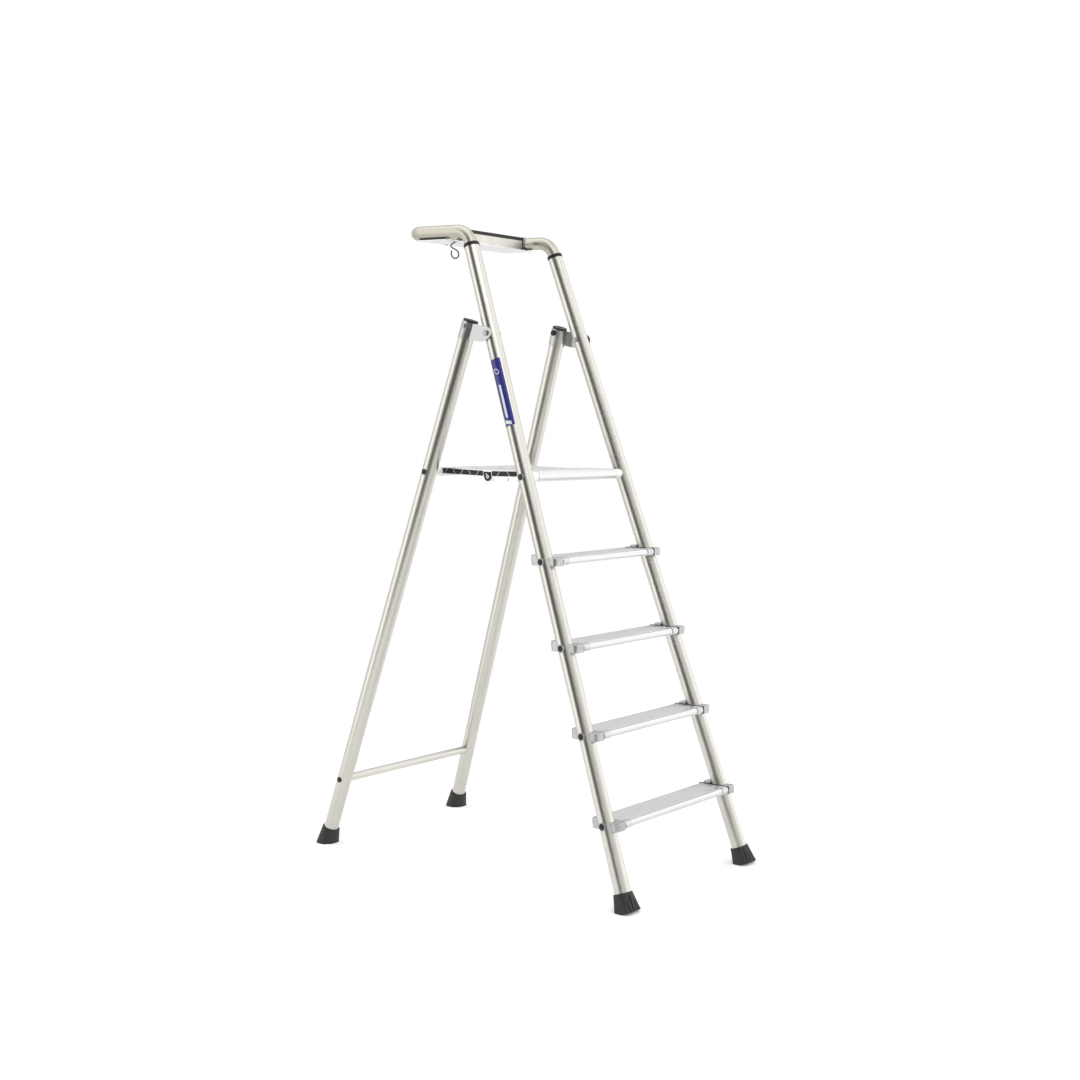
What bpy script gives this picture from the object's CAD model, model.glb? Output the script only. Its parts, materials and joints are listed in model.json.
import json
import math

import bpy
from mathutils import Matrix, Vector

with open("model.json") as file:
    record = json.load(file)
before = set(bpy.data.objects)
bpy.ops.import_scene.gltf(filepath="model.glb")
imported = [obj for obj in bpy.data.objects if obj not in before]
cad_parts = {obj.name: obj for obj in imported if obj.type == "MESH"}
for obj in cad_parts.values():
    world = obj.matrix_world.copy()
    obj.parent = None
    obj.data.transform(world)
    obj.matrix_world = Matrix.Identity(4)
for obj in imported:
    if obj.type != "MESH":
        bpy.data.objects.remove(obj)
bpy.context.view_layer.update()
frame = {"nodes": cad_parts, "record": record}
nodes = frame["nodes"]

# ---------------------------------------------------------------- camera
CAMERA_AT = (-3.52958, -2.96778, 1.28959)
CAMERA_RIGHT = Vector((0.61207, -0.79080, -0.00143))
CAMERA_UP = Vector((0.06731, 0.05030, 0.99646))
SENSOR_MM = 36.0
LENS_MM = 50.787
SHIFT = (-0.04659, 0.01902)
CLIP_END = 60.0

camera_data = bpy.data.cameras.new("camera")
camera_data.sensor_width = SENSOR_MM
camera_data.lens = LENS_MM
camera_data.shift_x, camera_data.shift_y = SHIFT
camera_data.clip_end = CLIP_END
camera = bpy.data.objects.new("camera", camera_data)
bpy.context.scene.collection.objects.link(camera)
back = CAMERA_RIGHT.cross(CAMERA_UP).normalized()
up = back.cross(CAMERA_RIGHT).normalized()
turn = Matrix((CAMERA_RIGHT.normalized(), up, back)).transposed().to_4x4()
camera.matrix_world = Matrix.Translation(CAMERA_AT) @ turn
bpy.context.scene.camera = camera
bpy.context.scene.view_settings.view_transform = "Standard"

# ---------------------------------------------------------------- node helpers
NOISE_LOW = 0.3          # nearly all of a noise lies between these two
NOISE_HIGH = 0.7
MIX_FACTOR, MIX_A, MIX_B, MIX_RESULT = 0, 6, 7, 2    # sockets of a colour mix


class Tree:
    """A node tree with short calls for making and joining nodes."""

    def __init__(self, tree):
        self.tree = tree
        tree.nodes.clear()

    def add(self, kind, inputs=None, **settings):
        node = self.tree.nodes.new(kind)
        for key, value in settings.items():
            setattr(node, key, value)
        for key, value in (inputs or {}).items():
            if isinstance(value, bpy.types.NodeSocket):
                self.tree.links.new(value, node.inputs[key])
            else:
                node.inputs[key].default_value = value
        return node

    def math(self, operation, a, b=0.0, c=None, clamp=False):
        inputs = {0: a, 1: b}
        if c is not None:
            inputs[2] = c
        node = self.add("ShaderNodeMath", inputs, operation=operation, use_clamp=clamp)
        return node.outputs[0]

    def ramp(self, factor, stops):
        node = self.add("ShaderNodeValToRGB", {"Fac": factor})
        elements = node.color_ramp.elements
        while len(elements) > 1:
            elements.remove(elements[-1])
        for n, (at, value) in enumerate(stops):
            element = elements[0] if n == 0 else elements.new(at)
            element.position = at
            element.color = (*value, 1.0)
        return node.outputs["Color"]

    def mapping(self, vector, **inputs):
        return self.add("ShaderNodeMapping", {"Vector": vector, **inputs}).outputs[0]

    def separate(self, vector):
        return self.add("ShaderNodeSeparateXYZ", {0: vector}).outputs

    def noise(self, vector, scale, detail=3.0, rough=0.55):
        inputs = {"Vector": vector, "Scale": scale, "Detail": detail, "Roughness": rough}
        return self.add("ShaderNodeTexNoise", inputs).outputs["Fac"]

    def spread(self, value, low, high):
        """Takes the usual range of a noise to low to high."""
        inputs = {
            "Value": value,
            "From Min": NOISE_LOW,
            "From Max": NOISE_HIGH,
            "To Min": low,
            "To Max": high,
        }
        return self.add("ShaderNodeMapRange", inputs).outputs["Result"]

    def mix(self, factor, a, b):
        node = self.add("ShaderNodeMix", data_type="RGBA", blend_type="MIX")
        for index, value in ((MIX_FACTOR, factor), (MIX_A, a), (MIX_B, b)):
            if isinstance(value, bpy.types.NodeSocket):
                self.tree.links.new(value, node.inputs[index])
            elif isinstance(value, tuple):
                node.inputs[index].default_value = (*value, 1.0)
            else:
                node.inputs[index].default_value = value
        return node.outputs[MIX_RESULT]

    def step(self, value, start, end):
        """0 at start, rising smoothly to 1 at end, which may lie below start."""
        inputs = {"Value": value, "From Min": start, "From Max": end}
        return self.add("ShaderNodeMapRange", inputs, interpolation_type="SMOOTHSTEP").outputs[0]

    def window(self, value, low, high, soft):
        """1 between low and high, falling to 0 over the soft margin."""
        rise = self.step(value, low - soft, low + soft)
        fall = self.step(value, high + soft, high - soft)
        return self.math("MULTIPLY", rise, fall)

    def bump(self, height, distance):
        inputs = {"Height": height, "Distance": distance, "Strength": 1.0}
        return self.add("ShaderNodeBump", inputs).outputs["Normal"]

    def place(self):
        return self.add("ShaderNodeTexCoord").outputs["Object"]


def along(direction):
    """Rotation that takes a direction to the Z axis, for a texture stretched along it."""
    return Vector(direction).normalized().rotation_difference(Vector((0, 0, 1))).to_euler()


def material(name):
    made = bpy.data.materials.new(name)
    made.use_nodes = True
    return made, Tree(made.node_tree)


def finish_material(t, colour, gloss, normal=None, **fixed):
    inputs = {"Base Color": colour, "Roughness": gloss}
    if normal is not None:
        inputs["Normal"] = normal
    shader = t.add("ShaderNodeBsdfPrincipled", inputs)
    for key, value in fixed.items():
        shader.inputs[key.replace("_", " ")].default_value = value
    output = t.add("ShaderNodeOutputMaterial")
    t.tree.links.new(shader.outputs["BSDF"], output.inputs["Surface"])


# ---------------------------------------------------------------- kinds of material
LINES_PER_METRE = 1400.0
LINE_STRETCH = 5.0       # the same noise, per metre of the tube's length
STREAKS = (120.0, 120.0, 1.1)
LINE_DEPTH = 0.0000015
SMUDGE_DEPTH = 0.22      # how far smudges take the colour towards the dull one
SMUDGE_DULL = 0.82


def drawn_metal(name, direction, low, high, rough):
    """Aluminium with fine lines along one direction, tone streaks and handling smudges."""
    made, t = material(name)
    where = t.place()
    turned = t.mapping(where, Rotation=along(direction))
    lines = t.mapping(turned, Scale=(LINES_PER_METRE, LINES_PER_METRE, LINE_STRETCH))
    fine = t.noise(lines, 1.0, 4.0, 0.7)
    tone = t.noise(t.mapping(turned, Scale=STREAKS), 1.0, 2.0)
    cloud = t.noise(where, 9.0, 4.0, 0.6)
    colour = t.mix(t.spread(tone, 0.0, 1.0), low, high)
    dull = tuple(SMUDGE_DULL * c for c in low)
    colour = t.mix(t.spread(cloud, 0.0, SMUDGE_DEPTH), colour, dull)
    gloss = t.math(
        "ADD", t.spread(fine, rough - 0.01, rough + 0.02), t.spread(cloud, -0.005, 0.005)
    )
    finish_material(t, colour, gloss, t.bump(fine, LINE_DEPTH), Metallic=1.0)
    return made


TREAD_RIB_TOP = 0.234    # height of the lowest tread's rib tops
STEP_RISE = 0.235
GROOVE_FROM = 0.0005     # the groove floors lie between these two depths under the rib tops
GROOVE_TO = 0.0022
TREAD_LINES = (5.0, 900.0, 900.0)
GROOVE_TONE = (0.60, 0.605, 0.61)


def tread_metal():
    """Ribbed extrusion: rib tops rubbed bright, greyer grooves, satin nose and underside."""
    made, t = material("tread")
    coordinates = t.add("ShaderNodeTexCoord").outputs
    where = coordinates["Object"]
    upward = t.separate(coordinates["Normal"])[2]
    fine = t.noise(t.mapping(where, Scale=TREAD_LINES), 1.0, 4.0, 0.7)
    wear = t.noise(where, 14.0, 4.0, 0.6)
    side = t.mix(t.spread(fine, 0.0, 1.0), (0.60, 0.605, 0.61), (0.66, 0.665, 0.67))
    above = t.math("SUBTRACT", t.separate(where)[2], TREAD_RIB_TOP)
    ribbed = t.math("FRACT", t.math("DIVIDE", above, STEP_RISE))
    groove = t.window(ribbed, 1 - GROOVE_TO / STEP_RISE, 1 - GROOVE_FROM / STEP_RISE, 0.0003)
    top = t.mix(t.spread(wear, 0.0, 1.0), (0.86, 0.865, 0.87), (0.92, 0.925, 0.93))
    top = t.mix(groove, top, GROOVE_TONE)
    facing = t.math("MULTIPLY_ADD", upward, 4.0, -2.4, clamp=True)
    colour = t.mix(facing, side, top)
    gloss = t.math("ADD", t.spread(fine, 0.32, 0.39), t.spread(wear, -0.02, 0.03))
    finish_material(t, colour, gloss, t.bump(fine, LINE_DEPTH), Metallic=1.0)
    return made


def plain_metal(name, low, high, rough, grain=700.0, depth=0.00003, patch=60.0):
    """Cast or plated metal: fine grain with soft patches of tone."""
    made, t = material(name)
    where = t.place()
    fine = t.noise(where, grain, 3.0, 0.6)
    patches = t.noise(where, patch)
    colour = t.mix(t.spread(patches, 0.0, 1.0), low, high)
    gloss = t.math(
        "ADD", t.spread(fine, rough - 0.02, rough + 0.05), t.spread(patches, -0.02, 0.04)
    )
    finish_material(t, colour, gloss, t.bump(fine, depth), Metallic=1.0)
    return made


def moulded(name, low, high, rough, grain=900.0, depth=0.00003, **fixed):
    """Moulded plastic or rubber: fine sparked grain, faint dust and scuffed patches."""
    made, t = material(name)
    where = t.place()
    fine = t.noise(where, grain, 3.0, 0.6)
    patches = t.noise(where, 38.0, 5.0, 0.65)
    colour = t.mix(t.spread(patches, 0.0, 1.0), low, high)
    gloss = t.math(
        "ADD", t.spread(fine, rough - 0.05, rough + 0.05), t.spread(patches, -0.07, 0.07)
    )
    finish_material(t, colour, gloss, t.bump(fine, depth), **fixed)
    return made


TRAY_HINGE_Y = 0.298     # the tray slopes down forward from here
TRAY_SLOPE = 0.0419
TRAY_FLOOR_TOP = 1.8618
TRAY_FLOOR_BELOW = 1.0   # any height under the floor
WALL_ROUGH = 0.30
FLOOR_ROUGHER = 0.16


def tray_sheet():
    """Bright folded sheet: polished wall, duller and whiter floor."""
    made, t = material("tray_sheet")
    where = t.place()
    parts = t.separate(where)
    sloping = t.math("MULTIPLY", t.math("SUBTRACT", parts[1], TRAY_HINGE_Y), TRAY_SLOPE)
    level = t.math("SUBTRACT", parts[2], sloping)
    floor_part = t.window(level, TRAY_FLOOR_BELOW, TRAY_FLOOR_TOP, 0.0003)
    fine = t.noise(where, 900.0, 3.0, 0.6)
    patches = t.noise(where, 25.0)
    wall = t.mix(t.spread(patches, 0.0, 1.0), (0.50, 0.485, 0.44), (0.57, 0.555, 0.51))
    base = t.mix(t.spread(patches, 0.0, 1.0), (0.76, 0.76, 0.745), (0.82, 0.82, 0.81))
    gloss = t.math("MULTIPLY_ADD", floor_part, FLOOR_ROUGHER, WALL_ROUGH)
    gloss = t.math("ADD", gloss, t.spread(fine, -0.01, 0.03))
    colour = t.mix(floor_part, wall, base)
    finish_material(t, colour, gloss, t.bump(fine, 0.000005), Metallic=1.0)
    return made


STILE_LEAN = 0.3492      # rearward run per unit of height
STILE_BASE_Y = 0.5885
LABEL_FOOT = 1.306
LABEL_TALL = 0.19
LABEL_FRONT = 0.0167     # from the stile's axis to the label's front edge
LABEL_WIDE = 0.0303
LABEL_EDGE = 0.004       # softness of printed edges along the label
LABEL_SIDE = 0.02        # and across it
RING_AT = (0.82, 0.5)    # along and across
RING_RADII = (0.2, 0.27)
PRINT_TONE = (0.78, 0.80, 0.86)


def label_print():
    """Dark blue film with a pale bar, end block and ring, and no lettering."""
    made, t = material("label_print")
    where = t.place()
    parts = t.separate(where)
    lengthwise = t.math("DIVIDE", t.math("SUBTRACT", parts[2], LABEL_FOOT), LABEL_TALL)
    axis_y = t.math("MULTIPLY_ADD", parts[2], STILE_LEAN, -STILE_BASE_Y)
    from_front = t.math("ADD", t.math("SUBTRACT", parts[1], axis_y), LABEL_FRONT)
    across = t.math("DIVIDE", from_front, LABEL_WIDE)

    def patch(foot, head, front, rear):
        tall = t.window(lengthwise, foot, head, LABEL_EDGE)
        return t.math("MULTIPLY", tall, t.window(across, front, rear, LABEL_SIDE))

    bar = patch(0.13, 0.62, 0.36, 0.62)
    block = patch(0.035, 0.085, 0.14, 0.86)
    ring_up = t.math("SUBTRACT", lengthwise, RING_AT[0])
    ring_up = t.math("MULTIPLY", ring_up, LABEL_TALL / LABEL_WIDE)
    ring_across = t.math("SUBTRACT", across, RING_AT[1])
    squares = t.math("ADD", t.math("POWER", ring_up, 2.0), t.math("POWER", ring_across, 2.0))
    ring = t.window(t.math("SQRT", squares), *RING_RADII, 0.015)
    pale = t.math("MAXIMUM", t.math("MAXIMUM", bar, block), ring)
    worn = t.noise(where, 300.0, 4.0, 0.65)
    ink = t.mix(t.spread(worn, 0.0, 1.0), (0.024, 0.022, 0.19), (0.034, 0.033, 0.235))
    colour = t.mix(t.math("MULTIPLY", pale, t.spread(worn, 1.0, 0.86)), ink, PRINT_TONE)
    finish_material(t, colour, t.spread(worn, 0.26, 0.36), t.bump(worn, 0.00001))
    return made


# ---------------------------------------------------------------- materials of the pieces
TAPER = 0.0571           # inward run of tubes per unit of height
LEG_LEAN = 0.3385
TUBE_ROUGH = 0.29
STILE_TONES = (0.555, 0.54, 0.50), (0.62, 0.61, 0.575)
LEG_TONES = (0.52, 0.505, 0.465), (0.585, 0.575, 0.535)
SADDLE_TONES = (0.36, 0.365, 0.37), (0.47, 0.475, 0.48)

paint = {}
for side, inward in (("right", -TAPER), ("left", TAPER)):
    paint[f"stile_{side}"] = drawn_metal(
        f"tube_stile_{side}", (inward, STILE_LEAN, 1), *STILE_TONES, TUBE_ROUGH
    )
    paint[f"rear_leg_{side}"] = drawn_metal(
        f"tube_leg_{side}", (inward, -LEG_LEAN, 1), *LEG_TONES, TUBE_ROUGH
    )
    paint[f"tread_brackets_{side}"] = plain_metal(f"saddle_{side}", *SADDLE_TONES, 0.36)
paint["rear_crossbar"] = drawn_metal("tube_crossbar", (1, 0, 0), *STILE_TONES, TUBE_ROUGH)

slots = {
    "tube_aluminium": drawn_metal("tube_plain", (0, 0, 1), *STILE_TONES, TUBE_ROUGH),
    "rail_aluminium": plain_metal(
        "rail",
        (0.43, 0.41, 0.355),
        (0.485, 0.465, 0.41),
        0.36,
        grain=900.0,
        depth=0.000006,
        patch=18.0,
    ),
    "tread_aluminium": tread_metal(),
    "cast_aluminium": plain_metal("cast", (0.50, 0.505, 0.51), (0.62, 0.625, 0.63), 0.36),
    "tray_metal": tray_sheet(),
    "zinc_steel": plain_metal(
        "zinc",
        (0.40, 0.405, 0.41),
        (0.46, 0.465, 0.47),
        0.33,
        grain=900.0,
        depth=0.000005,
        patch=90.0,
    ),
    "fastener_steel": plain_metal("fastener", (0.26, 0.26, 0.26), (0.36, 0.36, 0.355), 0.33),
    "hook_steel": plain_metal("hook_wire", (0.09, 0.088, 0.085), (0.15, 0.147, 0.14), 0.36),
    "black_plastic": moulded(
        "black_plastic", (0.010, 0.010, 0.011), (0.019, 0.019, 0.020), 0.46, Specular_IOR_Level=0.3
    ),
    "natural_nylon": moulded(
        "natural_nylon", (0.80, 0.80, 0.77), (0.88, 0.88, 0.86), 0.4, grain=600.0
    ),
    "rubber": moulded(
        "rubber", (0.010, 0.010, 0.010), (0.020, 0.020, 0.0195), 0.6, grain=700.0, depth=0.00006
    ),
    "label_film": label_print(),
}
slot_of = {entry["node"]: entry["material_slot"] for entry in frame["record"]["subparts"]}
for name, node in nodes.items():
    node.data.materials.clear()
    node.data.materials.append(paint.get(name) or slots[slot_of[name]])

# ---------------------------------------------------------------- floor
FLOOR_RADIUS = 2.6
FLOOR_SIDES = 96
FLOOR_TONE = (0.85, 0.85, 0.85, 1.0)
FLOOR_ROUGH = 0.9
FLOOR_GLOW = 0.2         # lifts the paper to the white of the backdrop

floor_mesh = bpy.data.meshes.new("floor")
floor_rim = []
for n in range(FLOOR_SIDES):
    angle = 2 * math.pi * n / FLOOR_SIDES
    floor_rim.append((FLOOR_RADIUS * math.cos(angle), FLOOR_RADIUS * math.sin(angle), 0))
floor_mesh.from_pydata(floor_rim, [], [tuple(range(FLOOR_SIDES))])
floor = bpy.data.objects.new("floor", floor_mesh)
bpy.context.scene.collection.objects.link(floor)
floor_paint, floor_tree = material("floor_paper")
finish_material(
    floor_tree, FLOOR_TONE, FLOOR_ROUGH, Emission_Color=(1, 1, 1, 1), Emission_Strength=FLOOR_GLOW
)
floor.data.materials.append(floor_paint)

# ---------------------------------------------------------------- studio room
CAMERA_AZIMUTH = math.radians(-142.3)
WARM = (1.0, 0.985, 0.945)


def tint(value):
    return tuple(value * c for c in WARM)


# Light of the room by degrees round from the camera's side, towards the right of the picture.
WALLS = (
    (-180, (0.88, 0.88, 0.89)),
    (-130, tint(0.98)),
    (-104, tint(1.02)),
    (-84, (1.88, 1.87, 1.84)),
    (-64, (2.05, 2.04, 2.00)),
    (-53, tint(0.80)),
    (-42, tint(0.22)),
    (-28, tint(0.06)),
    (2, tint(0.07)),
    (16, tint(0.22)),
    (30, tint(0.62)),
    (50, tint(0.90)),
    (66, (1.15, 1.15, 1.13)),
    (80, (1.68, 1.68, 1.68)),
    (128, (1.50, 1.50, 1.50)),
    (150, (1.10, 1.10, 1.10)),
    (180, (0.88, 0.88, 0.89)),
)
SKEW = 0.6               # the dark side of the room leans over by this much per unit of height
SKEW_FULL = 40           # degrees left of the camera where the lean is full
HIGH_BOX = (2.6, 2.6, 2.55)
LOW_BOX = (2.4, 2.4, 2.36)
LOW_BOX_SHARE = 0.8
CEILING = (1.0, 1.0, 1.0)
CEILING_FROM = 0.80      # height on the unit sphere
CEILING_TO = 0.92

world = bpy.data.worlds.new("studio")
world.use_nodes = True
bpy.context.scene.world = world
t = Tree(world.node_tree)
towards = t.add("ShaderNodeTexCoord").outputs["Generated"]
spin = {"Vector": towards, "Angle": -CAMERA_AZIMUTH}
turned = t.add("ShaderNodeVectorRotate", spin, rotation_type="Z_AXIS").outputs[0]
parts = t.separate(turned)
azimuth = t.math("ARCTAN2", parts[1], parts[0])
lift = t.math("ARCSINE", parts[2])


def band(value, low, high, soft):
    """1 between two angles in degrees, falling to 0 over the soft margin."""
    return t.window(value, math.radians(low), math.radians(high), math.radians(soft))


left_side = t.math("MULTIPLY", azimuth, -1 / math.radians(SKEW_FULL), clamp=True)
leaning = t.math("MULTIPLY", t.math("MULTIPLY", lift, SKEW), left_side)
round_way = t.math("MULTIPLY_ADD", t.math("ADD", azimuth, leaning), 1 / (2 * math.pi), 0.5)
walls = t.ramp(round_way, [((angle + 180) / 360, value) for angle, value in WALLS])
high_box = t.math("MULTIPLY", band(azimuth, -14, 52, 6), band(lift, 32, 58, 2.5))
low_box = t.math("MULTIPLY", band(azimuth, -10, 36, 6), band(lift, 10, 15.5, 2))
walls = t.mix(high_box, walls, HIGH_BOX)
walls = t.mix(t.math("MULTIPLY", low_box, LOW_BOX_SHARE), walls, LOW_BOX)
height = {"Value": parts[2], "From Min": CEILING_FROM, "From Max": CEILING_TO}
dome = t.mix(t.add("ShaderNodeMapRange", height).outputs[0], walls, CEILING)
seen = t.add("ShaderNodeLightPath").outputs["Is Camera Ray"]
shown = t.mix(seen, dome, (1.0, 1.0, 1.0))
background = t.add("ShaderNodeBackground", {"Color": shown, "Strength": 1.0})
world_output = t.add("ShaderNodeOutputWorld")
t.tree.links.new(background.outputs[0], world_output.inputs["Surface"])

# ---------------------------------------------------------------- top light
TOP_AT = Vector((-0.5, 0.5, 4.5))
TOP_TARGET = Vector((0, 0, 0.8))
TOP_SIZE = 3.0
TOP_WATTS = 30

top_data = bpy.data.lights.new("top", "AREA")
top_data.shape = "RECTANGLE"
top_data.size = TOP_SIZE
top_data.size_y = TOP_SIZE
top_data.energy = TOP_WATTS
top_lamp = bpy.data.objects.new("top", top_data)
top_lamp.location = TOP_AT
top_lamp.rotation_euler = (TOP_TARGET - TOP_AT).to_track_quat("-Z", "Y").to_euler()
top_lamp.visible_camera = False
bpy.context.scene.collection.objects.link(top_lamp)
